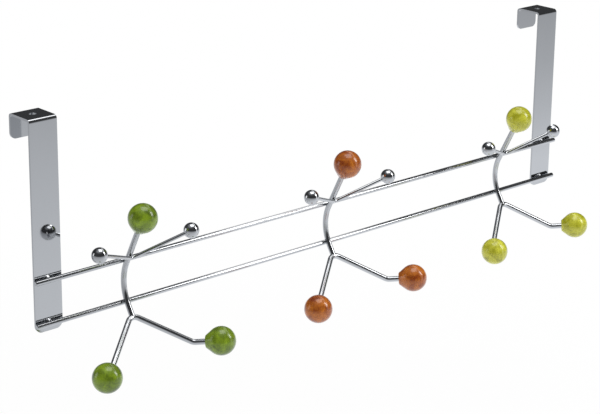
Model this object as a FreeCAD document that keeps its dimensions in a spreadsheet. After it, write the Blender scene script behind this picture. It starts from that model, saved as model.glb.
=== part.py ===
"""Over door hook rack: two bent strap brackets carry two wire rails and three coat hooks.

Millimetres. +X runs along the rails, +Y into the door, +Z up. The origin is midway between
the two screw holes, on the underside of the top plates, where the rack hangs on the door.
"""
import FreeCAD, Part
import math
import os
import Sketcher
from FreeCAD import Placement, Rotation, Vector

# Driving sizes: alias, value, meaning
SIZES = [
    ("bracket_spacing", 481, "screw hole to screw hole"),
    ("strap_width", 21, "width of the flat strap"),
    ("strap_thickness", 1.5, "thickness of the flat strap"),
    ("door_gap", 20, "space between the leg and the rear lip"),
    ("leg_past_rail", 6, "lower rail down to the end of the leg"),
    ("lip_length", 16, "underside of the top plate to the end of the lip"),
    ("bend_inside", 1, "inside radius of the strap's two bends"),
    ("leg_corner", 5, "corner radius at the end of the leg"),
    ("lip_corner", 4, "corner radius at the end of the lip"),
    ("screw_hole", 5, "diameter of the hole in the top plate"),
    ("boss_height", 1.5, "height of the pressed bosses that carry the rails"),
    ("boss_crest", 3.5, "diameter of a boss at its crest"),
    ("boss_foot", 5.5, "diameter of a boss where it leaves the strap"),
    ("punch_depth", 1.4, "depth of the punch mark behind a boss"),
    ("punch_mouth", 3.2, "diameter of the punch mark at the strap's back"),
    ("punch_floor", 1.8, "diameter of the punch mark at its floor"),
    ("rail_wire", 3.5, "diameter of the rails"),
    ("rail_drop", 107, "underside of the top plate to the upper rail"),
    ("rail_spacing", 30, "upper rail to lower rail"),
    ("rail_overhang", 1.3, "rail past the outer edge of each strap"),
    ("rail_chamfer", 0.4, "chamfer on the rails' ends"),
    ("weld_sink", 0.15, "how far a welded wire is pressed into its seat"),
    ("hook_inset", 58, "screw hole to the outer hook, along the rails"),
    ("hook_wire", 4, "diameter of the spine and fork wires"),
    ("spine_bow", 30, "radius of the spine's bow between the rails"),
    ("spine_lean", 27.5, "degrees that the spine's top leans forward"),
    ("spine_kick", 32, "degrees that the spine's foot leans forward"),
    ("fork_drop", 8.4, "lower rail down to the crown of the fork"),
    ("top_ball_rise", 35.2, "upper rail up to the centre of the top ball"),
    ("fork_crown", 6, "bend radius at the crown of the fork"),
    ("fork_elbow", 6, "bend radius at the fork's elbows"),
    ("elbow_spread", 33.7, "crown to elbow, sideways"),
    ("elbow_reach", 22.3, "crown to elbow, forward"),
    ("elbow_fall", 19.9, "crown to elbow, down"),
    ("peg_spread", 47.2, "crown to the centre of a lower ball, sideways"),
    ("peg_reach", 35.9, "crown to the centre of a lower ball, forward"),
    ("peg_fall", 18.1, "crown to the centre of a lower ball, down"),
    ("crossbar_wire", 2.5, "diameter of the crossbar"),
    ("crossbar_crown", 6, "bend radius at the middle of the crossbar"),
    ("knob_spread", 37.4, "middle of the crossbar to a knob, sideways"),
    ("crossbar_rise", 4.3, "upper rail up to the middle of the crossbar"),
    ("knob_reach", 16, "middle of the crossbar to a knob, forward"),
    ("knob_lift", 14.9, "middle of the crossbar to a knob, up"),
    ("ball_diameter", 20, "glazed balls"),
    ("ball_bore_depth", 9, "the ball's surface to the floor of its bore"),
    ("neck_diameter", 8.4, "flat at the end of a glazed ball's neck, round the wire"),
    ("neck_proud", 0.7, "end of the neck past the ball's round"),
    ("neck_edge", 0.8, "rounding of the edge round that flat"),
    ("knob_diameter", 10.8, "chromed knobs"),
    ("knob_bore_depth", 4.5, "the knob's surface to the floor of its bore"),
    ("mouth_chamfer", 0.3, "chamfer at the mouth of a bore"),
    ("glue_gap", 0.05, "radial clearance of a wire in its bore"),
]

# Expressions for the places that more than one piece takes from the same sizes
FRONT_FACE = "(Sizes.door_gap / 2 + Sizes.strap_thickness)"
BOSS_CREST_FACE = "(" + FRONT_FACE + " + Sizes.boss_height)"
RAIL_FORWARD = "(" + BOSS_CREST_FACE + " + Sizes.rail_wire / 2 - Sizes.weld_sink)"
RAIL_DOWN = {
    "upper": "Sizes.rail_drop",
    "lower": "(Sizes.rail_drop + Sizes.rail_spacing)",
}
LEG_LENGTH = "(" + RAIL_DOWN["lower"] + " + Sizes.leg_past_rail)"
LIP_LENGTH = "Sizes.lip_length"
HOOK_SPACING = "(Sizes.bracket_spacing / 2 - Sizes.hook_inset)"
BOW_MIDDLE_DOWN = "(Sizes.rail_drop + Sizes.rail_spacing / 2)"
BOW_TO_RAIL = "(Sizes.spine_bow + (Sizes.rail_wire + Sizes.hook_wire) / 2 - Sizes.weld_sink)"
BOW_CENTRE_FORWARD = (
    "(" + RAIL_FORWARD + " + sqrt(" + BOW_TO_RAIL + "^2 - (Sizes.rail_spacing / 2)^2))"
)
FORK_CROWN_DOWN = "(" + RAIL_DOWN["lower"] + " + Sizes.fork_drop)"
TOP_BALL_DOWN = "(Sizes.rail_drop - Sizes.top_ball_rise)"
WIRE_PAST_BALL_CENTRE = "(Sizes.ball_bore_depth - Sizes.ball_diameter / 2)"

HOOKS = ("left", "middle", "right")
SIDES = {"left": -1, "right": 1}

doc = FreeCAD.newDocument("OverDoorHook")
sheet = doc.addObject("Spreadsheet::Sheet", "Sizes")
for row, (alias, value, meaning) in enumerate(SIZES, start=1):
    sheet.set("A%d" % row, meaning)
    sheet.set("B%d" % row, str(value))
    sheet.setAlias("B%d" % row, alias)
doc.recompute()


def size(alias):
    """The sheet's value of one driving size."""
    return float(sheet.get(alias))


def origin_plane(body, role):
    """One of the body's own origin planes."""
    for feature in body.Origin.OriginFeatures:
        if feature.Role == role:
            return feature
    raise ValueError("no plane " + role)


def new_body(label):
    """An empty body whose label names its file."""
    body = doc.addObject("PartDesign::Body", label)
    body.Label = label
    return body


def new_sketch(body, role, name):
    """A sketch on one of the body's origin planes."""
    sketch = body.newObject("Sketcher::SketchObject", name)
    sketch.AttachmentSupport = [(origin_plane(body, role), "")]
    sketch.MapMode = "FlatFace"
    return sketch


def constrain(sketch, kind, *where):
    """A geometric constraint."""
    sketch.addConstraint(Sketcher.Constraint(kind, *where))


def dimension(sketch, name, kind, where, expression):
    """A named dimension that follows an expression."""
    index = sketch.addConstraint(Sketcher.Constraint(kind, *where, value_of(expression)))
    sketch.renameConstraint(index, name)
    sketch.setExpression("Constraints." + name, expression)


def value_of(expression):
    """The number that an expression of sheet sizes gives now."""
    return float(sheet.evalExpression(expression.replace("Sizes.", "")))


def circle_at(sketch, name, across, up, diameter):
    """A circle whose centre lies at named distances from the sketch's origin.

    A distance is (sign, expression): the sign tells which side of the origin it is on.
    """
    centre = [0.0, 0.0]
    for axis, place in enumerate((across, up)):
        if place:
            centre[axis] = place[0] * value_of(place[1])
    radius = value_of(diameter) / 2
    index = sketch.addGeometry(Part.Circle(Vector(*centre, 0), Vector(0, 0, 1), radius))
    for kind, label, place in (("DistanceX", "across", across), ("DistanceY", "up", up)):
        if place is None:
            axis = -2 if kind == "DistanceX" else -1
            constrain(sketch, "PointOnObject", index, 3, axis)
        elif place[0] > 0:
            dimension(sketch, name + "_" + label, kind, (-1, 1, index, 3), place[1])
        else:
            dimension(sketch, name + "_" + label, kind, (index, 3, -1, 1), place[1])
    dimension(sketch, name + "_diameter", "Diameter", (index,), diameter)
    return index


def edges_where(feature, test):
    """Names of the feature's edges that pass a test."""
    return ["Edge%d" % n for n, edge in enumerate(feature.Shape.Edges, start=1) if test(edge)]


def build_bracket(label, side):
    """A flat strap bent over the door: long leg, top plate with a screw hole, short lip."""
    body = new_body(label)
    profile = strap_profile(body)
    strap = body.newObject("PartDesign::Pad", "Strap")
    strap.Profile = profile
    strap.SideType = "Symmetric"
    strap.setExpression("Length", "Sizes.strap_width")
    doc.recompute()
    ends = (("Leg", "leg_corner", LEG_LENGTH), ("Lip", "lip_corner", LIP_LENGTH))
    for name, corner, length in ends:
        tip = body.Tip
        low = -value_of(length)
        rounded = body.newObject("PartDesign::Fillet", name + "Corners")
        rounded.Base = (tip, edges_where(tip, lambda edge: runs_along_y_at(edge, low)))
        rounded.setExpression("Radius", "Sizes." + corner)
        doc.recompute()
    hole_sketch = new_sketch(body, "XY_Plane", "ScrewHoleSketch")
    circle_at(hole_sketch, "hole", None, None, "Sizes.screw_hole")
    hole = body.newObject("PartDesign::Pocket", "ScrewHole")
    hole.Profile = hole_sketch
    hole.SideType = "Symmetric"
    hole.setExpression("Length", "4 * Sizes.strap_thickness")
    for rail in RAIL_DOWN:
        add_boss(body, rail)
    body.setExpression("Placement.Base.x", "%d * Sizes.bracket_spacing / 2" % side)
    return body


def runs_along_y_at(edge, height):
    """Whether an edge is a straight run through the strap's thickness at one height."""
    first, last = (vertex.Point for vertex in (edge.Vertexes[0], edge.Vertexes[-1]))
    level = abs(first.z - height) < 1e-6 and abs(last.z - height) < 1e-6
    return level and abs(first.x - last.x) < 1e-6 and abs(first.y - last.y) > 1e-6


def strap_profile(body):
    """The strap seen from its edge: four straight faces each way and two bends."""
    half_gap = size("door_gap") / 2
    thickness = size("strap_thickness")
    inside = size("bend_inside")
    outside = inside + thickness
    leg = -value_of(LEG_LENGTH)
    lip = -value_of(LIP_LENGTH)
    front = -half_gap - thickness
    back = half_gap + thickness
    centres = (Vector(-half_gap + inside, -inside, 0), Vector(half_gap - inside, -inside, 0))
    quarter = math.pi / 2

    def line(y0, z0, y1, z1):
        return Part.LineSegment(Vector(y0, z0, 0), Vector(y1, z1, 0))

    def bend(centre, radius, start):
        circle = Part.Circle(centre, Vector(0, 0, 1), radius)
        return Part.ArcOfCircle(circle, start, start + quarter)

    sketch = new_sketch(body, "YZ_Plane", "StrapProfile")
    leg_face = sketch.addGeometry(line(front, leg, front, -inside))
    front_bend = sketch.addGeometry(bend(centres[0], outside, quarter))
    top_face = sketch.addGeometry(line(centres[0].x, thickness, centres[1].x, thickness))
    back_bend = sketch.addGeometry(bend(centres[1], outside, 0))
    lip_face = sketch.addGeometry(line(back, -inside, back, lip))
    lip_end = sketch.addGeometry(line(back, lip, half_gap, lip))
    lip_seat = sketch.addGeometry(line(half_gap, lip, half_gap, -inside))
    back_inside = sketch.addGeometry(bend(centres[1], inside, 0))
    top_seat = sketch.addGeometry(line(centres[1].x, 0, centres[0].x, 0))
    front_inside = sketch.addGeometry(bend(centres[0], inside, quarter))
    leg_seat = sketch.addGeometry(line(-half_gap, -inside, -half_gap, leg))
    leg_end = sketch.addGeometry(line(-half_gap, leg, front, leg))
    # A bend's arc runs anticlockwise, so its first point is the one further back
    for straight, point, arc, arc_point in (
        (leg_face, 2, front_bend, 2),
        (top_face, 1, front_bend, 1),
        (top_face, 2, back_bend, 2),
        (lip_face, 1, back_bend, 1),
        (lip_seat, 2, back_inside, 1),
        (top_seat, 1, back_inside, 2),
        (top_seat, 2, front_inside, 1),
        (leg_seat, 1, front_inside, 2),
    ):
        constrain(sketch, "Tangent", straight, point, arc, arc_point)
    for first, second in (
        (lip_face, lip_end),
        (lip_end, lip_seat),
        (leg_seat, leg_end),
        (leg_end, leg_face),
    ):
        constrain(sketch, "Coincident", first, 2, second, 1)
    for upright in (leg_face, lip_face, lip_seat, leg_seat):
        constrain(sketch, "Vertical", upright)
    for level in (top_face, lip_end, top_seat, leg_end):
        constrain(sketch, "Horizontal", level)
    constrain(sketch, "Coincident", front_bend, 3, front_inside, 3)
    constrain(sketch, "Coincident", back_bend, 3, back_inside, 3)
    constrain(sketch, "Equal", front_inside, back_inside)
    constrain(sketch, "PointOnObject", top_seat, 1, -1)
    dimension(sketch, "inside", "Radius", (front_inside,), "Sizes.bend_inside")
    dimension(sketch, "thickness", "DistanceY", (-1, 1, top_face, 1), "Sizes.strap_thickness")
    dimension(sketch, "leg_side", "DistanceX", (leg_seat, 1, -1, 1), "Sizes.door_gap / 2")
    dimension(sketch, "lip_side", "DistanceX", (-1, 1, lip_seat, 1), "Sizes.door_gap / 2")
    dimension(sketch, "leg", "DistanceY", (leg_end, 1, -1, 1), LEG_LENGTH)
    dimension(sketch, "lip", "DistanceY", (lip_end, 1, -1, 1), LIP_LENGTH)
    return sketch


def add_boss(body, rail):
    """A boss pressed out of the leg to carry one rail, with the punch mark behind it."""
    boss = body.newObject("PartDesign::AdditiveCone", rail.capitalize() + "Boss")
    place_cone(body, boss, FRONT_FACE, "boss_foot", "boss_crest", "boss_height", rail)
    doc.recompute()
    mark = body.newObject("PartDesign::SubtractiveCone", rail.capitalize() + "PunchMark")
    place_cone(body, mark, "Sizes.door_gap / 2", "punch_mouth", "punch_floor", "punch_depth", rail)
    doc.recompute()


def place_cone(body, cone, forward, foot, crest, height, rail):
    """A cone that points forward from a face of the leg, level with one rail."""
    cone.AttachmentSupport = [(origin_plane(body, "XZ_Plane"), "")]
    cone.MapMode = "FlatFace"
    cone.setExpression("Radius1", "Sizes.%s / 2" % foot)
    cone.setExpression("Radius2", "Sizes.%s / 2" % crest)
    cone.setExpression("Height", "Sizes." + height)
    cone.setExpression("AttachmentOffset.Base.y", "-" + RAIL_DOWN[rail])
    cone.setExpression("AttachmentOffset.Base.z", forward)


def build_rail(label, rail):
    """A straight round wire with chamfered ends and a flat where each boss carries it."""
    body = new_body(label)
    section = new_sketch(body, "YZ_Plane", "RailSection")
    circle_at(section, "rail", (-1, RAIL_FORWARD), (-1, RAIL_DOWN[rail]), "Sizes.rail_wire")
    wire = body.newObject("PartDesign::Pad", "RailWire")
    wire.Profile = section
    wire.SideType = "Symmetric"
    wire.setExpression(
        "Length", "Sizes.bracket_spacing + Sizes.strap_width + 2 * Sizes.rail_overhang"
    )
    doc.recompute()
    ends = body.newObject("PartDesign::Chamfer", "RailEnds")
    ends.Base = (wire, edges_where(wire, lambda edge: edge.isClosed()))
    ends.setExpression("Size", "Sizes.rail_chamfer")
    doc.recompute()
    flat_sketch = boss_flat_sketch(body, rail)
    flat = body.newObject("PartDesign::Pocket", "BossFlat")
    flat.Profile = flat_sketch
    flat.Type = "ThroughAll"
    doc.recompute()
    pair = body.newObject("PartDesign::Mirrored", "BossFlats")
    pair.Originals = [flat]
    pair.MirrorPlane = (origin_plane(body, "YZ_Plane"), [""])
    body.Tip = pair
    doc.recompute()
    return body


def boss_flat_sketch(body, rail):
    """A rectangle on the plane of a boss's crest, as wide as the boss's foot."""
    sketch = new_sketch(body, "XZ_Plane", "BossFlatSketch")
    sketch.setExpression("AttachmentOffset.Base.z", BOSS_CREST_FACE)
    middle = size("bracket_spacing") / 2
    half_width = size("boss_foot") / 2
    height = -value_of(RAIL_DOWN[rail])
    half_height = size("rail_wire") / 2
    corners = [
        Vector(middle - half_width, height - half_height, 0),
        Vector(middle + half_width, height - half_height, 0),
        Vector(middle + half_width, height + half_height, 0),
        Vector(middle - half_width, height + half_height, 0),
    ]
    for first, second in zip(corners, corners[1:] + corners[:1]):
        sketch.addGeometry(Part.LineSegment(first, second))
    centre = sketch.addGeometry(Part.Point(Vector(middle, height, 0)), True)
    for side in range(4):
        constrain(sketch, "Coincident", side, 2, (side + 1) % 4, 1)
        constrain(sketch, "Vertical" if side % 2 else "Horizontal", side)
    constrain(sketch, "Symmetric", 0, 1, 2, 1, centre, 1)
    dimension(sketch, "middle", "DistanceX", (-1, 1, centre, 1), "Sizes.bracket_spacing / 2")
    dimension(sketch, "down", "DistanceY", (centre, 1, -1, 1), RAIL_DOWN[rail])
    dimension(sketch, "width", "DistanceX", (0, 1, 0, 2), "Sizes.boss_foot")
    dimension(sketch, "height", "DistanceY", (1, 1, 1, 2), "Sizes.rail_wire")
    return sketch


def build_spine(label, across):
    """The hook's upright wire: a bow that seats on both rails and a straight at each end.

    Its foot runs on to the crown's centre, where the fork cuts a seat into it.
    """
    body = new_body(label)
    path = spine_path(body)
    doc.recompute()
    section = body.newObject("Sketcher::SketchObject", "SpineSection")
    section.AttachmentSupport = [(path, "Edge1")]
    section.MapMode = "NormalToEdge"
    circle_at(section, "wire", None, None, "Sizes.hook_wire")
    wire = body.newObject("PartDesign::AdditivePipe", "SpineWire")
    wire.Profile = section
    wire.Spine = (path, ["Edge1", "Edge2", "Edge3"])
    doc.recompute()
    seat_sketch = new_sketch(body, "YZ_Plane", "SeatSketch")
    for rail, down in RAIL_DOWN.items():
        circle_at(seat_sketch, rail, (-1, RAIL_FORWARD), (-1, down), "Sizes.rail_wire")
    seats = body.newObject("PartDesign::Pocket", "WeldSeats")
    seats.Profile = seat_sketch
    seats.SideType = "Symmetric"
    seats.setExpression("Length", "4 * Sizes.hook_wire")
    body.setExpression("Placement.Base.x", "%d * %s" % (across, HOOK_SPACING))
    doc.recompute()
    return body, path


def spine_path(body):
    """Foot straight, bow and top straight, in the plane square to the rails."""
    bow = size("spine_bow")
    lean = math.radians(size("spine_lean"))
    kick = math.radians(size("spine_kick"))
    centre = Vector(-value_of(BOW_CENTRE_FORWARD), -value_of(BOW_MIDDLE_DOWN), 0)
    low = centre + Vector(math.cos(kick), -math.sin(kick), 0) * bow
    high = centre + Vector(math.cos(lean), math.sin(lean), 0) * bow
    foot_fall = low.y + value_of(FORK_CROWN_DOWN)
    foot = low + Vector(-math.tan(kick), -1, 0) * foot_fall
    tip_rise = -value_of(TOP_BALL_DOWN) - high.y
    tip = high + Vector(-math.tan(lean), 1, 0) * tip_rise
    sketch = new_sketch(body, "YZ_Plane", "SpinePath")
    foot_run = sketch.addGeometry(Part.LineSegment(foot, low))
    circle = Part.Circle(centre, Vector(0, 0, 1), bow)
    arc = sketch.addGeometry(Part.ArcOfCircle(circle, -kick, lean))
    top_run = sketch.addGeometry(Part.LineSegment(high, tip))
    constrain(sketch, "Tangent", foot_run, 2, arc, 1)
    constrain(sketch, "Tangent", top_run, 1, arc, 2)
    dimension(sketch, "bow", "Radius", (arc,), "Sizes.spine_bow")
    dimension(sketch, "forward", "DistanceX", (arc, 3, -1, 1), BOW_CENTRE_FORWARD)
    dimension(sketch, "middle", "DistanceY", (arc, 3, -1, 1), BOW_MIDDLE_DOWN)
    dimension(sketch, "kick", "DistanceY", (arc, 1, arc, 3), "Sizes.spine_bow * sin(Sizes.spine_kick)")
    dimension(sketch, "lean", "DistanceY", (arc, 3, arc, 2), "Sizes.spine_bow * sin(Sizes.spine_lean)")
    dimension(sketch, "foot", "DistanceY", (foot_run, 1, -1, 1), FORK_CROWN_DOWN)
    past = WIRE_PAST_BALL_CENTRE + " * cos(Sizes.spine_lean)"
    dimension(sketch, "tip", "DistanceY", (top_run, 2, -1, 1), TOP_BALL_DOWN + " - " + past)
    return sketch


def crown_corner(spread, length, radius):
    """How far behind a crown's bend its two straight arms would meet.

    Both arms are tangent to the bend, which touches the crown's own point, and each ends
    spread to the side and length ahead of that point.
    """
    square = spread ** 2 - radius ** 2
    middle = radius * (spread ** 2 - radius * length)
    return (math.sqrt(middle ** 2 + square * (radius * length) ** 2) - middle) / square


def bent_path(points, radii):
    """A wire of straight runs with a tangent arc of the given radius at each inner point."""
    edges = []
    start = points[0]
    for before, corner, after, radius in zip(points, points[1:], points[2:], radii):
        arriving = (corner - before).normalize()
        leaving = (after - corner).normalize()
        turn = arriving.getAngle(leaving)
        setback = radius * math.tan(turn / 2)
        arc_start = corner - arriving * setback
        arc_end = corner + leaving * setback
        inward = (leaving - arriving).normalize()
        arc_middle = corner + inward * (radius / math.cos(turn / 2) - radius)
        edges.append(Part.LineSegment(start, arc_start).toShape())
        edges.append(Part.Arc(arc_start, arc_middle, arc_end).toShape())
        start = arc_end
    edges.append(Part.LineSegment(start, points[-1]).toShape())
    return Part.Wire(edges)


def sweep_wire(name, points, radii, diameter):
    """A round wire bent along a path in space."""
    path = doc.addObject("Part::Feature", name + "_path")
    path.Shape = bent_path(points, radii)
    section = doc.addObject("Part::Circle", name + "_section")
    section.setExpression("Radius", diameter + " / 2")
    section.Placement = Placement(points[0], Rotation(Vector(0, 0, 1), points[1] - points[0]))
    wire = doc.addObject("Part::Sweep", name)
    wire.Sections = [section]
    wire.Spine = (path, ["Edge%d" % n for n in range(1, len(path.Shape.Edges) + 1)])
    wire.Solid = True
    wire.Frenet = False
    doc.recompute()
    return wire


def build_fork(label, crown):
    """One wire bent into an arch: a crown, two arms and an elbow before each lower ball."""
    reach = size("elbow_reach")
    fall = size("elbow_fall")
    ahead = Vector(0, -reach, -fall)
    corner = crown_corner(size("elbow_spread"), ahead.Length, size("fork_crown"))
    apex = crown - ahead.normalize() * corner
    elbows = {}
    balls = {}
    tips = {}
    for name, side in SIDES.items():
        elbows[name] = crown + Vector(side * size("elbow_spread"), -reach, -fall)
        peg = Vector(side * size("peg_spread"), -size("peg_reach"), -size("peg_fall"))
        balls[name] = (crown + peg, (crown + peg - elbows[name]).normalize())
        tips[name] = balls[name][0] + balls[name][1] * value_of(WIRE_PAST_BALL_CENTRE)
    points = [tips["left"], elbows["left"], apex, elbows["right"], tips["right"]]
    radii = [size("fork_elbow"), size("fork_crown"), size("fork_elbow")]
    wire = sweep_wire(label, points, radii, "Sizes.hook_wire")
    wire.Label = label
    return wire, balls


def crossbar_middle(path, across):
    """The place where the crossbar lies on the front of the spine's leaning top."""
    start = path.Geometry[2].StartPoint
    lean = math.radians(size("spine_lean"))
    to_spine = (size("hook_wire") + size("crossbar_wire")) / 2 - size("weld_sink")
    height = size("crossbar_rise") - value_of(RAIL_DOWN["upper"])
    spine_forward = (height - start.y) * math.tan(lean) - start.x
    return Vector(across, -spine_forward - to_spine / math.cos(lean), height)


def build_crossbar(label, middle, spine):
    """A thin wire bent into a shallow V and welded across the front of the spine."""
    ahead = Vector(0, -size("knob_reach"), size("knob_lift"))
    corner = crown_corner(size("knob_spread"), ahead.Length, size("crossbar_crown"))
    apex = middle - Vector(ahead).normalize() * corner
    knobs = {}
    tips = {}
    for name, side in SIDES.items():
        centre = middle + ahead + Vector(side * size("knob_spread"), 0, 0)
        outward = (centre - apex).normalize()
        knobs[name] = (centre, outward)
        tips[name] = centre + outward * (size("knob_bore_depth") - size("knob_diameter") / 2)
    points = [tips["left"], apex, tips["right"]]
    wire = sweep_wire(label + "_wire", points, [size("crossbar_crown")], "Sizes.crossbar_wire")
    return seat_on(wire, spine, label), knobs


def seat_on(piece, support, label):
    """The piece with a seat cut into it where it is pressed against its support."""
    seated = doc.addObject("Part::Cut", label)
    seated.Base = piece
    seated.Tool = support
    seated.Label = label
    doc.recompute()
    return seated


def build_ball(label, kind, wire, centre, outward):
    """A ball turned about +Z with a blind bore from below, set on the end of a wire.

    A glazed ball tapers into a short neck round the bore's mouth, and a chromed knob doesn't.
    """
    body = new_body(label)
    sketch = new_sketch(body, "XZ_Plane", "BallProfile")
    diameter = "Sizes.%s_diameter" % kind
    bore_radius = "(%s / 2 + Sizes.glue_gap)" % wire
    mouth_radius = "(%s + Sizes.mouth_chamfer)" % bore_radius
    floor_down = "(%s / 2 - Sizes.%s_bore_depth)" % (diameter, kind)
    radius = value_of(diameter) / 2
    bore = value_of(bore_radius)
    chamfer = size("mouth_chamfer")
    if kind == "ball":
        neck = size("neck_diameter") / 2
        mouth = -radius - size("neck_proud")
        turn = math.atan2(neck, -mouth) + math.acos(radius / math.hypot(neck, mouth))
    else:
        turn = math.asin((bore + chamfer) / radius)
        mouth = -radius * math.cos(turn)
    join = Vector(math.sin(turn), -math.cos(turn), 0) * radius
    floor = -value_of(floor_down)
    points = [
        Vector(0, floor, 0),
        Vector(bore, floor, 0),
        Vector(bore, mouth + chamfer, 0),
        Vector(bore + chamfer, mouth, 0),
    ]
    if kind == "ball":
        points.append(Vector(neck, mouth, 0))
        points.append(join)
    lines = [
        sketch.addGeometry(Part.LineSegment(first, second))
        for first, second in zip(points, points[1:])
    ]
    circle = Part.Circle(Vector(0, 0, 0), Vector(0, 0, 1), radius)
    shell = sketch.addGeometry(Part.ArcOfCircle(circle, turn - math.pi / 2, math.pi / 2))
    axis = sketch.addGeometry(Part.LineSegment(Vector(0, radius, 0), points[0]))
    outline = lines + [shell, axis]
    for first, second in zip(outline, outline[1:] + outline[:1]):
        tapered = kind == "ball" and second == shell
        constrain(sketch, "Tangent" if tapered else "Coincident", first, 2, second, 1)
    constrain(sketch, "Coincident", shell, 3, -1, 1)
    constrain(sketch, "PointOnObject", shell, 2, -2)
    constrain(sketch, "PointOnObject", lines[0], 1, -2)
    constrain(sketch, "Horizontal", lines[0])
    constrain(sketch, "Vertical", lines[1])
    dimension(sketch, "ball", "Radius", (shell,), diameter + " / 2")
    dimension(sketch, "floor", "DistanceY", (lines[0], 1, -1, 1), floor_down)
    dimension(sketch, "bore", "DistanceX", (-1, 1, lines[0], 2), bore_radius)
    dimension(sketch, "mouth", "DistanceX", (-1, 1, lines[2], 2), mouth_radius)
    dimension(sketch, "chamfer", "DistanceY", (lines[2], 2, lines[2], 1), "Sizes.mouth_chamfer")
    if kind == "ball":
        neck_end = diameter + " / 2 + Sizes.neck_proud"
        constrain(sketch, "Horizontal", lines[3])
        dimension(sketch, "end", "DistanceY", (lines[3], 1, -1, 1), neck_end)
        dimension(sketch, "neck", "DistanceX", (-1, 1, lines[3], 2), "Sizes.neck_diameter / 2")
    ball = body.newObject("PartDesign::Revolution", "Ball")
    ball.Profile = sketch
    ball.ReferenceAxis = (sketch, ["V_Axis"])
    ball.Angle = 360
    doc.recompute()
    if kind == "ball":
        rounded = body.newObject("PartDesign::Fillet", "NeckEdge")
        rounded.Base = (ball, edges_where(ball, lambda edge: is_ring(edge, neck, mouth)))
        rounded.setExpression("Radius", "Sizes.neck_edge")
    body.Placement = Placement(centre, Rotation(Vector(0, 0, 1), outward))
    return body


def is_ring(edge, radius, height):
    """Whether an edge is a circle of one radius at one height."""
    if edge.Degenerated or not isinstance(edge.Curve, Part.Circle):
        return False
    return abs(edge.Curve.Radius - radius) < 1e-6 and abs(edge.Curve.Center.z - height) < 1e-6


def build_hook(name, across):
    """One coat hook with its eight pieces."""
    offset = across * value_of(HOOK_SPACING)
    spine_wire, path = build_spine(name + "_spine_wire", across)
    foot = path.Geometry[0].StartPoint
    crown = Vector(offset, foot.x, foot.y)
    fork, balls = build_fork(name + "_fork", crown)
    spine = seat_on(spine_wire, fork, name + "_spine")
    middle = crossbar_middle(path, offset)
    crossbar, knobs = build_crossbar(name + "_crossbar", middle, spine)
    top_run = path.Geometry[2]
    lean = Vector(0, *(top_run.EndPoint - top_run.StartPoint)[:2]).normalize()
    tip = Vector(offset, top_run.EndPoint.x, top_run.EndPoint.y)
    balls["top"] = (tip - lean * value_of(WIRE_PAST_BALL_CENTRE), lean)
    pieces = [spine, fork, crossbar]
    sets = (("ball", "Sizes.hook_wire", balls), ("knob", "Sizes.crossbar_wire", knobs))
    for kind, wire, places in sets:
        for place, (centre, outward) in places.items():
            label = "%s_%s_%s" % (name, place, kind)
            pieces.append(build_ball(label, kind, wire, centre, outward))
    return pieces


def check_document():
    """Stops if any object of the document failed to compute."""
    for item in doc.Objects:
        bad = {"Invalid", "Error"} & set(item.State)
        if bad:
            raise RuntimeError("%s is %s" % (item.Label, ", ".join(sorted(bad))))


def export(pieces):
    """Checks every piece and writes one STEP file for each."""
    for piece in pieces:
        shape = piece.Shape
        if shape.isNull() or not shape.isValid() or len(shape.Solids) != 1:
            raise RuntimeError("%s is not one valid solid" % piece.Label)
    os.makedirs("parts", exist_ok=True)
    for piece in pieces:
        piece.Shape.exportStep("parts/%s.step" % piece.Label)
        print("%-20s %9.1f mm3" % (piece.Label, piece.Shape.Volume))


parts = []
for bracket_name, bracket_side in SIDES.items():
    parts.append(build_bracket(bracket_name + "_bracket", bracket_side))
for rail_name in RAIL_DOWN:
    parts.append(build_rail(rail_name + "_rail", rail_name))
for hook_number, hook_name in enumerate(HOOKS, start=-1):
    parts.extend(build_hook(hook_name, hook_number))
doc.recompute()
check_document()
export(parts)
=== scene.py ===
"""Over door hook: chromed straps, rails and bent wire hooks with glazed balls."""
import math

import bpy
from mathutils import Matrix, Vector


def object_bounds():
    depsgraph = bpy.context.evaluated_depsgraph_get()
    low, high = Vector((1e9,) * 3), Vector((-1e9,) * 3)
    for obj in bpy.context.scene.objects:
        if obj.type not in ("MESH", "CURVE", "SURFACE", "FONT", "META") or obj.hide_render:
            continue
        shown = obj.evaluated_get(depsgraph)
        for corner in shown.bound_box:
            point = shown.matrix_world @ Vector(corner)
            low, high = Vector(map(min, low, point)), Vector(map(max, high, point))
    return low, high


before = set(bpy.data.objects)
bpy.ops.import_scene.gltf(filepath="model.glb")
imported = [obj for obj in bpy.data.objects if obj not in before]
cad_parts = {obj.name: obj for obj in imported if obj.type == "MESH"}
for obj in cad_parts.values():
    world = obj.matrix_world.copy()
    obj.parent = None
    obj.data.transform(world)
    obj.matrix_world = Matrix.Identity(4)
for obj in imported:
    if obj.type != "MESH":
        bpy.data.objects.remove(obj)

bl_info = {
    "name": "Over Door Hook",
    "version": (1, 0, 0),
    "blender": (4, 5, 0),
    "location": "View3D > Sidebar > Hook",
    "description": "Finishes the over door hook and sets its studio",
    "category": "Object",
}

CAD_BOUNDS = [list(corner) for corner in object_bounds()]
LOWEST = CAD_BOUNDS[0][2]

HOOKS = ("left", "middle", "right")
STRAPS = ("left_bracket", "right_bracket")
RAILS = ("upper_rail", "lower_rail")
HOOK_WIRES = [f"{hook}_{wire}" for hook in HOOKS for wire in ("spine", "fork", "crossbar")]
KNOBS = [f"{hook}_{side}_knob" for hook in HOOKS for side in ("left", "right")]
BALL_PLACES = ("left", "right", "top")

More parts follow.
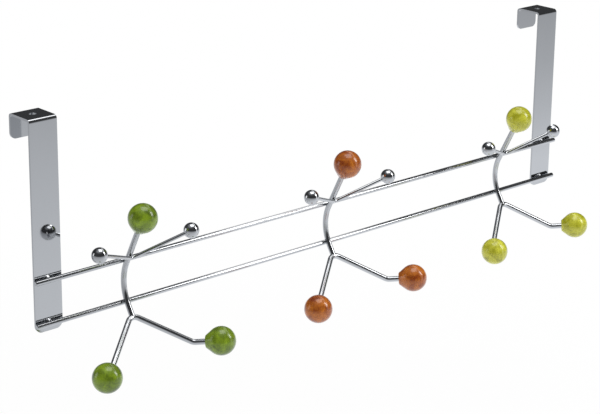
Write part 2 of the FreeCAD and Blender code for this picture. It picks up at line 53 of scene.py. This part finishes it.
# Chrome of each kind of piece: how its ripple is stretched and scaled, and its roughness
# where the plating is smooth and where it is hazy
STRAP_CHROME = {"stretch": (1, 1, 0.25), "ripple_scale": 260, "smooth": 0.04, "hazy": 0.12}
RAIL_CHROME = {"stretch": (0.2, 1, 1), "ripple_scale": 500, "smooth": 0.08, "hazy": 0.16}
WIRE_CHROME = {"stretch": (1, 1, 1), "ripple_scale": 350, "smooth": 0.08, "hazy": 0.16}
KNOB_CHROME = {"stretch": (1, 1, 1), "ripple_scale": 200, "smooth": 0.05, "hazy": 0.1}

RIPPLE_NOISE = {"Detail": 2}
HAZE_NOISE = {"Scale": 60, "Detail": 4}
HAZE_RANGE = {"From Min": 0.45, "From Max": 0.75}
HAZE_SHADE = 0.08
SCRATCH_NOISE = {"Scale": 2500, "Detail": 6, "Roughness": 0.7}
SCRATCH_HEIGHT = 0.15

CLOUD_NOISE = {"Scale": 130, "Detail": 5, "Roughness": 0.6, "Distortion": 0.6}
CLOUD_RANGE = {"From Min": 0.35, "From Max": 0.68}
GRAIN_CELLS = {"Scale": 600}
SPECK_RANGE = {"From Min": 0.12, "From Max": 0.3, "To Min": 1, "To Max": 0}
SPECK_STRENGTH = 0.22
PIT_NOISE = {"Scale": 420, "Detail": 3}
PIT_DEPTH = 2e-5
GLAZE_ROUGHNESS = {"To Min": 0.12, "To Max": 0.3}
GLAZE_COAT = {"Coat Weight": 0.5, "Coat Roughness": 0.2}

# Rays that see the ground and the room as plain white
WHITE_TO = ("Is Camera Ray", "Is Transmission Ray")
WHITE = (1, 1, 1, 1)
AMBIENT_COLOUR = (0.63, 0.63, 0.63, 1)
GROUND_SIZE = 8
GROUND = {"Base Color": (0.85, 0.85, 0.85, 1), "Roughness": 0.8, "Specular IOR Level": 0}
# The ground's shadow fades to plain white over this distance from the rack's middle
SHADOW_FADE = {"From Min": 0.1, "From Max": 0.6, "To Min": 0.93}

# Grey shades that the chrome reflects, tinted faintly blue: of the room, from the horizon to
# straight overhead, and of the painted pool of light on the ground, from its centre outwards
SHADE_TINT = (0.975, 1, 1.04)
ROOM_SHADES = ((0.0, 0.3), (0.05, 0.12), (0.12, 0.05), (0.7, 0.06), (0.85, 0.25), (1.0, 0.5))
POOL_SHADES = (
    (0.0, 1.0), (0.26, 1.0), (0.32, 0.86), (0.37, 0.78), (0.48, 0.66), (0.62, 0.58), (1.0, 0.45)
)
POOL_CENTRE = (0.45, 0.1, 0)
POOL_REACH = 2

# Soft lamps: place, point they face, size and how bright their faces are, where 1 is white
LAMPS = {
    "overhead": ((0.12, -0.05, 1.2), (0, 0, -0.08), (0.9, 0.9), 2.1),
    "low_panel": ((0.69, -0.89, 0.06), (0.69, 0, -0.12), (0.26, 0.85), 1.25),
    "high_panel": ((0.69, -0.42, 0.67), (0.69, 0, -0.12), (0.26, 0.85), 1.25),
    "rear_panel": ((0.69, 0.34, 0.69), (0.69, 0, -0.12), (0.26, 0.85), 1.25),
    "key": ((0.92, -0.91, 0.7), (0.2, 0, -0.08), (0.34, 0.7), 7),
    "left": ((-1.0, 0.72, 0.1), (0, 0, -0.08), (0.4, 0.5), 1.5),
}

# Step between nodes in the shader editor, to the right and down
GRID = (220, -220)
SOCKET_KINDS = {
    "value": "NodeSocketFloat", "colour": "NodeSocketColor", "vector": "NodeSocketVector"
}
EFFECT_OUTPUTS = {"Color": "colour", "Roughness": "value", "Height": "value"}


def length_value(name, description, default):
    """A length that the sidebar shows in the scene's unit."""
    return bpy.props.FloatProperty(
        name=name, description=description, default=default, unit="LENGTH", precision=4
    )


def colour_value(name, description, default):
    """A linear colour that the sidebar shows as a swatch."""
    return bpy.props.FloatVectorProperty(
        name=name, description=description, default=default, size=3, min=0, max=1,
        subtype="COLOR",
    )


def angle_value(name, description, degrees):
    """An angle that the sidebar shows in degrees."""
    return bpy.props.FloatProperty(
        name=name, description=description, default=math.radians(degrees), subtype="ANGLE"
    )


class PlatingSettings(bpy.types.PropertyGroup):
    """The chrome's colour and the depth of its ripple."""

    tint: colour_value("Tint", "Colour that the chrome reflects", (0.56, 0.57, 0.585))
    wire_ripple: length_value("Wire ripple", "Depth of the drawing ripple on the wires", 5e-7)
    strap_ripple: length_value("Strap ripple", "Depth of the rolling ripple on the straps", 3e-6)


class GlazeSettings(bpy.types.PropertyGroup):
    """Colours of the three glazes, deep and pale."""

    left_deep: colour_value("Left, deep", "Deep green of the left hook", (0.07, 0.115, 0.002))
    left_pale: colour_value("Left, pale", "Pale green of the left hook", (0.25, 0.38, 0.012))
    middle_deep: colour_value(
        "Middle, deep", "Deep orange of the middle hook", (0.24, 0.04, 0.001)
    )
    middle_pale: colour_value(
        "Middle, pale", "Pale orange of the middle hook", (0.56, 0.165, 0.01)
    )
    right_deep: colour_value("Right, deep", "Deep yellow of the right hook", (0.34, 0.34, 0.004))
    right_pale: colour_value("Right, pale", "Pale yellow of the right hook", (0.66, 0.66, 0.06))


class StudioSettings(bpy.types.PropertyGroup):
    """Where the floor lies and how the camera stands."""

    floor_drop: length_value("Floor drop", "Lowest ball down to the floor", 0.12)
    camera_place: bpy.props.FloatVectorProperty(
        name="Camera place", description="Where the camera stands", subtype="TRANSLATION",
        default=(-0.86108, -0.94755, 0.32351), precision=4,
    )
    heading: angle_value("Heading", "Camera's turn from straight ahead towards +X", 41.84)
    pitch: angle_value("Pitch", "Camera's tilt below the horizon", 16.99)
    roll: angle_value("Roll", "Camera's turn about its own axis", 0.64)
    lens: bpy.props.FloatProperty(
        name="Lens", description="Focal length on a 36 mm sensor, in millimetres",
        default=110.27,
    )
    shift: bpy.props.FloatProperty(
        name="Shift", description="Picture's shift down, as a share of its width", default=0.1
    )


def settings(name):
    """One group of the file's settings."""
    return getattr(bpy.context.scene, "hook_" + name)


def set_values(node, values):
    """Sets the values of a node's sockets, by name or number."""
    for socket, value in values.items():
        node.inputs[socket].default_value = value


def add_node(tree, kind, place, values=None, **traits):
    """A node at a place in the editor's grid, with its traits and its sockets' values."""
    node = tree.nodes.new(kind)
    node.location = (place[0] * GRID[0], place[1] * GRID[1])
    for name, trait in traits.items():
        setattr(node, name, trait)
    set_values(node, values or {})
    return node


def new_group(name, inputs, outputs):
    """An empty node group with named value, colour and vector sockets."""
    group = bpy.data.node_groups.new(name, "ShaderNodeTree")
    for in_out, sockets in (("INPUT", inputs), ("OUTPUT", outputs)):
        for label, kind in sockets.items():
            group.interface.new_socket(label, in_out=in_out, socket_type=SOCKET_KINDS[kind])
    return group


def new_material(name, values):
    """A material whose shader's sockets have these values."""
    material = bpy.data.materials.new(name)
    material.use_nodes = True
    set_values(material.node_tree.nodes["Principled BSDF"], values)
    return material


def plating_group():
    """Drawn or rolled metal under thin chrome: stretched ripple, haze and fine scratches."""
    inputs = {
        "Vector": "vector", "Ripple Scale": "value", "Smooth Roughness": "value",
        "Hazy Roughness": "value", "Tint": "colour",
    }
    group = new_group("Plating", inputs, EFFECT_OUTPUTS)
    link = group.links.new
    source = add_node(group, "NodeGroupInput", (0, 0))
    ripple = add_node(group, "ShaderNodeTexNoise", (1, 0), RIPPLE_NOISE)
    haze = add_node(group, "ShaderNodeTexNoise", (1, 1), HAZE_NOISE)
    scratches = add_node(group, "ShaderNodeTexNoise", (1, 2), SCRATCH_NOISE)
    for texture in (ripple, haze, scratches):
        link(source.outputs["Vector"], texture.inputs["Vector"])
    link(source.outputs["Ripple Scale"], ripple.inputs["Scale"])
    patches = add_node(group, "ShaderNodeMapRange", (2, 1), HAZE_RANGE)
    link(haze.outputs["Fac"], patches.inputs["Value"])
    link(source.outputs["Smooth Roughness"], patches.inputs["To Min"])
    link(source.outputs["Hazy Roughness"], patches.inputs["To Max"])
    shade = add_node(
        group, "ShaderNodeMix", (3, 0), {"Factor": HAZE_SHADE},
        data_type="RGBA", blend_type="MULTIPLY",
    )
    link(source.outputs["Tint"], shade.inputs["A"])
    link(haze.outputs["Fac"], shade.inputs["B"])
    height = add_node(
        group, "ShaderNodeMath", (3, 2), {1: SCRATCH_HEIGHT}, operation="MULTIPLY_ADD"
    )
    link(scratches.outputs["Fac"], height.inputs[0])
    link(ripple.outputs["Fac"], height.inputs[2])
    result = add_node(group, "NodeGroupOutput", (4, 0))
    link(shade.outputs["Result"], result.inputs["Color"])
    link(patches.outputs["Result"], result.inputs["Roughness"])
    link(height.outputs["Value"], result.inputs["Height"])
    return group


def glaze_group():
    """Mottled glaze: soft clouds of a deep and a pale tone, deeper specks and fine pits."""
    inputs = {
        "Vector": "vector", "Deep": "colour", "Pale": "colour", "Speck Strength": "value"
    }
    group = new_group("Mottled Glaze", inputs, EFFECT_OUTPUTS)
    link = group.links.new
    source = add_node(group, "NodeGroupInput", (0, 0))
    clouds = add_node(group, "ShaderNodeTexNoise", (1, 0), CLOUD_NOISE)
    grains = add_node(group, "ShaderNodeTexVoronoi", (1, 1), GRAIN_CELLS, feature="F1")
    pits = add_node(group, "ShaderNodeTexNoise", (1, 2), PIT_NOISE)
    for texture in (clouds, grains, pits):
        link(source.outputs["Vector"], texture.inputs["Vector"])
    spread = add_node(group, "ShaderNodeMapRange", (2, 0), CLOUD_RANGE)
    link(clouds.outputs["Fac"], spread.inputs["Value"])
    tones = add_node(group, "ShaderNodeMix", (3, 0), data_type="RGBA")
    link(spread.outputs["Result"], tones.inputs["Factor"])
    link(source.outputs["Deep"], tones.inputs["A"])
    link(source.outputs["Pale"], tones.inputs["B"])
    specks = add_node(group, "ShaderNodeMapRange", (2, 1), SPECK_RANGE)
    link(grains.outputs["Distance"], specks.inputs["Value"])
    strength = add_node(group, "ShaderNodeMath", (3, 1), operation="MULTIPLY")
    link(specks.outputs["Result"], strength.inputs[0])
    link(source.outputs["Speck Strength"], strength.inputs[1])
    speckled = add_node(
        group, "ShaderNodeMix", (4, 0), data_type="RGBA", blend_type="MULTIPLY"
    )
    link(strength.outputs["Value"], speckled.inputs["Factor"])
    link(tones.outputs["Result"], speckled.inputs["A"])
    link(source.outputs["Deep"], speckled.inputs["B"])
    rough = add_node(group, "ShaderNodeMapRange", (4, 1), GLAZE_ROUGHNESS)
    link(pits.outputs["Fac"], rough.inputs["Value"])
    result = add_node(group, "NodeGroupOutput", (5, 0))
    link(speckled.outputs["Result"], result.inputs["Color"])
    link(rough.outputs["Result"], result.inputs["Roughness"])
    link(pits.outputs["Fac"], result.inputs["Height"])
    return group


def lay_effect(tree, effect, depth):
    """Feeds a group's colour, roughness and relief of this depth to the material's shader."""
    shader = tree.nodes["Principled BSDF"]
    bump = add_node(tree, "ShaderNodeBump", (-1, 2), {"Distance": depth})
    tree.links.new(effect.outputs["Color"], shader.inputs["Base Color"])
    tree.links.new(effect.outputs["Roughness"], shader.inputs["Roughness"])
    tree.links.new(effect.outputs["Height"], bump.inputs["Height"])
    tree.links.new(bump.outputs["Normal"], shader.inputs["Normal"])


def chrome_material(name, ripple_depth, stretch, ripple_scale, smooth, hazy):
    """Bright chrome over metal whose ripple is stretched along the way it was drawn."""
    material = new_material(name, {"Metallic": 1})
    tree = material.node_tree
    place = add_node(tree, "ShaderNodeTexCoord", (-5, 0))
    mapping = add_node(tree, "ShaderNodeMapping", (-4, 0), {"Scale": stretch})
    values = {
        "Ripple Scale": ripple_scale,
        "Smooth Roughness": smooth,
        "Hazy Roughness": hazy,
        "Tint": (*settings("plating").tint, 1),
    }
    group = bpy.data.node_groups.get("Plating") or plating_group()
    plating = add_node(tree, "ShaderNodeGroup", (-3, 0), values, node_tree=group)
    tree.links.new(place.outputs["Object"], mapping.inputs["Vector"])
    tree.links.new(mapping.outputs["Vector"], plating.inputs["Vector"])
    lay_effect(tree, plating, ripple_depth)
    return material


def glaze_material(name, deep, pale):
    """Glossy coloured glaze over a ceramic ball."""
    material = new_material(name, GLAZE_COAT)
    tree = material.node_tree
    place = add_node(tree, "ShaderNodeTexCoord", (-4, 0))
    values = {"Deep": (*deep, 1), "Pale": (*pale, 1), "Speck Strength": SPECK_STRENGTH}
    group = bpy.data.node_groups.get("Mottled Glaze") or glaze_group()
    glaze = add_node(tree, "ShaderNodeGroup", (-3, 0), values, node_tree=group)
    tree.links.new(place.outputs["Object"], glaze.inputs["Vector"])
    lay_effect(tree, glaze, PIT_DEPTH)
    return material


def finish_node(node, material):
    """Puts one material on a piece of the frame."""
    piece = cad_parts[node]
    piece.data.materials.clear()
    piece.data.materials.append(material)


class HOOK_OT_straps(bpy.types.Operator):
    """Chromes the two straps"""

    bl_idname = "hook.straps"
    bl_label = "Straps"

    def execute(self, context):
        depth = settings("plating").strap_ripple
        strap = chrome_material("Chromed Strap", depth, **STRAP_CHROME)
        for node in STRAPS:
            finish_node(node, strap)
        return {"FINISHED"}


class HOOK_OT_wires(bpy.types.Operator):
    """Chromes the rails and the hooks' wires"""

    bl_idname = "hook.wires"
    bl_label = "Rails and wires"

    def execute(self, context):
        depth = settings("plating").wire_ripple
        rail = chrome_material("Chromed Rail", depth, **RAIL_CHROME)
        wire = chrome_material("Chromed Wire", depth, **WIRE_CHROME)
        for node in RAILS:
            finish_node(node, rail)
        for node in HOOK_WIRES:
            finish_node(node, wire)
        return {"FINISHED"}


class HOOK_OT_knobs(bpy.types.Operator):
    """Chromes the six knobs"""

    bl_idname = "hook.knobs"
    bl_label = "Knobs"

    def execute(self, context):
        depth = settings("plating").wire_ripple
        knob = chrome_material("Chromed Knob", depth, **KNOB_CHROME)
        for node in KNOBS:
            finish_node(node, knob)
        return {"FINISHED"}


class HOOK_OT_balls(bpy.types.Operator):
    """Glazes the nine balls, one colour for each hook"""

    bl_idname = "hook.balls"
    bl_label = "Glazed balls"

    def execute(self, context):
        colours = settings("glaze")
        for hook in HOOKS:
            deep = getattr(colours, hook + "_deep")
            pale = getattr(colours, hook + "_pale")
            glaze = glaze_material(hook.capitalize() + " Glaze", deep, pale)
            for place in BALL_PLACES:
                finish_node(f"{hook}_{place}_ball", glaze)
        return {"FINISHED"}


def add_lamp(name, place, target, size, face):
    """A soft rectangular lamp that faces a point and that the camera doesn't see."""
    lamp = bpy.data.lights.new(name, "AREA")
    lamp.shape = "RECTANGLE"
    lamp.size, lamp.size_y = size
    lamp.energy = face * math.pi * size[0] * size[1]
    light = bpy.data.objects.new(name, lamp)
    light.location = place
    direction = Vector(target) - Vector(place)
    light.rotation_euler = direction.to_track_quat("-Z", "Y").to_euler()
    light.visible_camera = False
    bpy.context.collection.objects.link(light)


def ramp_node(tree, place, stops):
    """A colour ramp with a tinted grey shade at each stop."""
    node = add_node(tree, "ShaderNodeValToRGB", place)
    elements = node.color_ramp.elements
    elements[0].position, elements[1].position = stops[0][0], stops[-1][0]
    for position, _ in stops[1:-1]:
        elements.new(position)
    for stop, (_, shade) in zip(elements, stops):
        stop.color = (*(shade * part for part in SHADE_TINT), 1)
    return node


def any_ray(tree, place, kinds):
    """A socket that is 1 for a ray of any of these kinds, and otherwise 0."""
    path = add_node(tree, "ShaderNodeLightPath", place)
    value = path.outputs[kinds[0]]
    for step, kind in enumerate(kinds[1:], 1):
        spot = (place[0] + step, place[1])
        either = add_node(tree, "ShaderNodeMath", spot, operation="MAXIMUM")
        tree.links.new(value, either.inputs[0])
        tree.links.new(path.outputs[kind], either.inputs[1])
        value = either.outputs["Value"]
    return value


def ground_material():
    """White ground that keeps a faint shadow under the rack and fades to plain white.

    The chrome sees a painted pool of light glowing on it instead, brightest at the rack's right.
    """
    material = new_material("White Ground", GROUND)
    tree = material.node_tree
    place = add_node(tree, "ShaderNodeTexCoord", (-5, 0))
    distance = add_node(tree, "ShaderNodeVectorMath", (-4, 0), operation="LENGTH")
    fade = add_node(
        tree, "ShaderNodeMapRange", (-3, 0), SHADOW_FADE, interpolation_type="SMOOTHSTEP"
    )
    share = add_node(tree, "ShaderNodeMath", (-2, -1), operation="MULTIPLY")
    # Painted pool of light: in reflections the ground glows in greys graded out from a centre
    from_pool = add_node(
        tree, "ShaderNodeVectorMath", (-5, 2), {1: POOL_CENTRE}, operation="DISTANCE"
    )
    reach = add_node(tree, "ShaderNodeMapRange", (-4, 2), {"From Max": POOL_REACH})
    pool = ramp_node(tree, (-3, 2), POOL_SHADES)
    tone = add_node(tree, "ShaderNodeMix", (-2, 2), {"B": WHITE}, data_type="RGBA")
    glow = add_node(tree, "ShaderNodeEmission", (-1, 1))
    mix = add_node(tree, "ShaderNodeMixShader", (0, 0))
    link = tree.links.new
    link(place.outputs["Object"], from_pool.inputs[0])
    link(from_pool.outputs["Value"], reach.inputs["Value"])
    link(reach.outputs["Result"], pool.inputs["Fac"])
    link(any_ray(tree, (-5, 4), WHITE_TO), tone.inputs["Factor"])
    link(pool.outputs["Color"], tone.inputs["A"])
    link(tone.outputs["Result"], glow.inputs["Color"])
    link(place.outputs["Object"], distance.inputs[0])
    link(distance.outputs["Value"], fade.inputs["Value"])
    link(fade.outputs["Result"], share.inputs[0])
    link(any_ray(tree, (-5, -2), (*WHITE_TO, "Is Glossy Ray")), share.inputs[1])
    link(share.outputs["Value"], mix.inputs["Fac"])
    link(tree.nodes["Principled BSDF"].outputs["BSDF"], mix.inputs[1])
    link(glow.outputs["Emission"], mix.inputs[2])
    link(mix.outputs["Shader"], tree.nodes["Material Output"].inputs["Surface"])
    return material


def light_world():
    """Plain soft light: white to the camera, and in reflections a dark room, pale overhead."""
    world = bpy.data.worlds.new("Studio")
    bpy.context.scene.world = world
    world.use_nodes = True
    tree = world.node_tree
    tree.nodes.clear()
    direction = add_node(tree, "ShaderNodeTexCoord", (-5, 0))
    parts = add_node(tree, "ShaderNodeSeparateXYZ", (-4, 0))
    ramp = ramp_node(tree, (-3, 0), ROOM_SHADES)
    reflected = add_node(tree, "ShaderNodeBackground", (-1, 0))
    ambient = add_node(tree, "ShaderNodeBackground", (-1, 1), {"Color": AMBIENT_COLOUR})
    seen = add_node(tree, "ShaderNodeBackground", (-1, -1), {"Color": WHITE})
    by_gloss = add_node(tree, "ShaderNodeMixShader", (0, 0))
    by_camera = add_node(tree, "ShaderNodeMixShader", (1, 0))
    result = add_node(tree, "ShaderNodeOutputWorld", (2, 0))
    link = tree.links.new
    link(direction.outputs["Generated"], parts.inputs["Vector"])
    link(parts.outputs["Z"], ramp.inputs["Fac"])
    link(ramp.outputs["Color"], reflected.inputs["Color"])
    link(any_ray(tree, (-3, -2), ("Is Glossy Ray",)), by_gloss.inputs["Fac"])
    link(ambient.outputs["Background"], by_gloss.inputs[1])
    link(reflected.outputs["Background"], by_gloss.inputs[2])
    link(any_ray(tree, (-3, -3), WHITE_TO), by_camera.inputs["Fac"])
    link(by_gloss.outputs["Shader"], by_camera.inputs[1])
    link(seen.outputs["Background"], by_camera.inputs[2])
    link(by_camera.outputs["Shader"], result.inputs["Surface"])


class HOOK_OT_studio(bpy.types.Operator):
    """Adds the floor, the lights and the camera"""

    bl_idname = "hook.studio"
    bl_label = "Studio"

    def execute(self, context):
        studio = settings("studio")
        bpy.ops.object.select_all(action="DESELECT")
        floor_place = (0, 0, LOWEST - studio.floor_drop)
        bpy.ops.mesh.primitive_plane_add(size=GROUND_SIZE, location=floor_place)
        floor = context.active_object
        floor.name = "floor"
        floor.data.materials.append(ground_material())
        light_world()
        for name, lamp in LAMPS.items():
            add_lamp(name, *lamp)
        camera = bpy.data.objects.new("camera", bpy.data.cameras.new("camera"))
        camera.location = studio.camera_place
        turn = Matrix.Rotation(-studio.heading, 3, "Z")
        tilt = Matrix.Rotation(math.pi / 2 - studio.pitch, 3, "X")
        roll = Matrix.Rotation(studio.roll, 3, "Z")
        camera.rotation_euler = (turn @ tilt @ roll).to_euler()
        camera.data.lens = studio.lens
        camera.data.shift_y = -studio.shift
        context.collection.objects.link(camera)
        context.scene.camera = camera
        context.scene.view_settings.view_transform = "Standard"
        return {"FINISHED"}


class HOOK_PT_panel(bpy.types.Panel):
    """The hook's settings and operators"""

    bl_label = "Over Door Hook"
    bl_idname = "HOOK_PT_panel"
    bl_space_type = "VIEW_3D"
    bl_region_type = "UI"
    bl_category = "Hook"

    def draw(self, context):
        for name, group in SETTINGS.items():
            box = self.layout.box()
            box.label(text=name.capitalize())
            for value in group.__annotations__:
                box.prop(settings(name), value)
        for operator in OPERATORS:
            self.layout.operator(operator.bl_idname)


SETTINGS = {"plating": PlatingSettings, "glaze": GlazeSettings, "studio": StudioSettings}
OPERATORS = (HOOK_OT_straps, HOOK_OT_wires, HOOK_OT_knobs, HOOK_OT_balls, HOOK_OT_studio)
CLASSES = (*SETTINGS.values(), *OPERATORS, HOOK_PT_panel)


def register():
    """Adds the classes and the scene's settings."""
    for cls in CLASSES:
        bpy.utils.register_class(cls)
    for name, group in SETTINGS.items():
        setattr(bpy.types.Scene, "hook_" + name, bpy.props.PointerProperty(type=group))


def unregister():
    """Removes the scene's settings and the classes."""
    for name in SETTINGS:
        delattr(bpy.types.Scene, "hook_" + name)
    for cls in reversed(CLASSES):
        bpy.utils.unregister_class(cls)


def main():
    """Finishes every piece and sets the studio."""
    register()
    bpy.ops.hook.straps()
    bpy.ops.hook.wires()
    bpy.ops.hook.knobs()
    bpy.ops.hook.balls()
    bpy.ops.hook.studio()


if __name__ == "__main__":
    main()
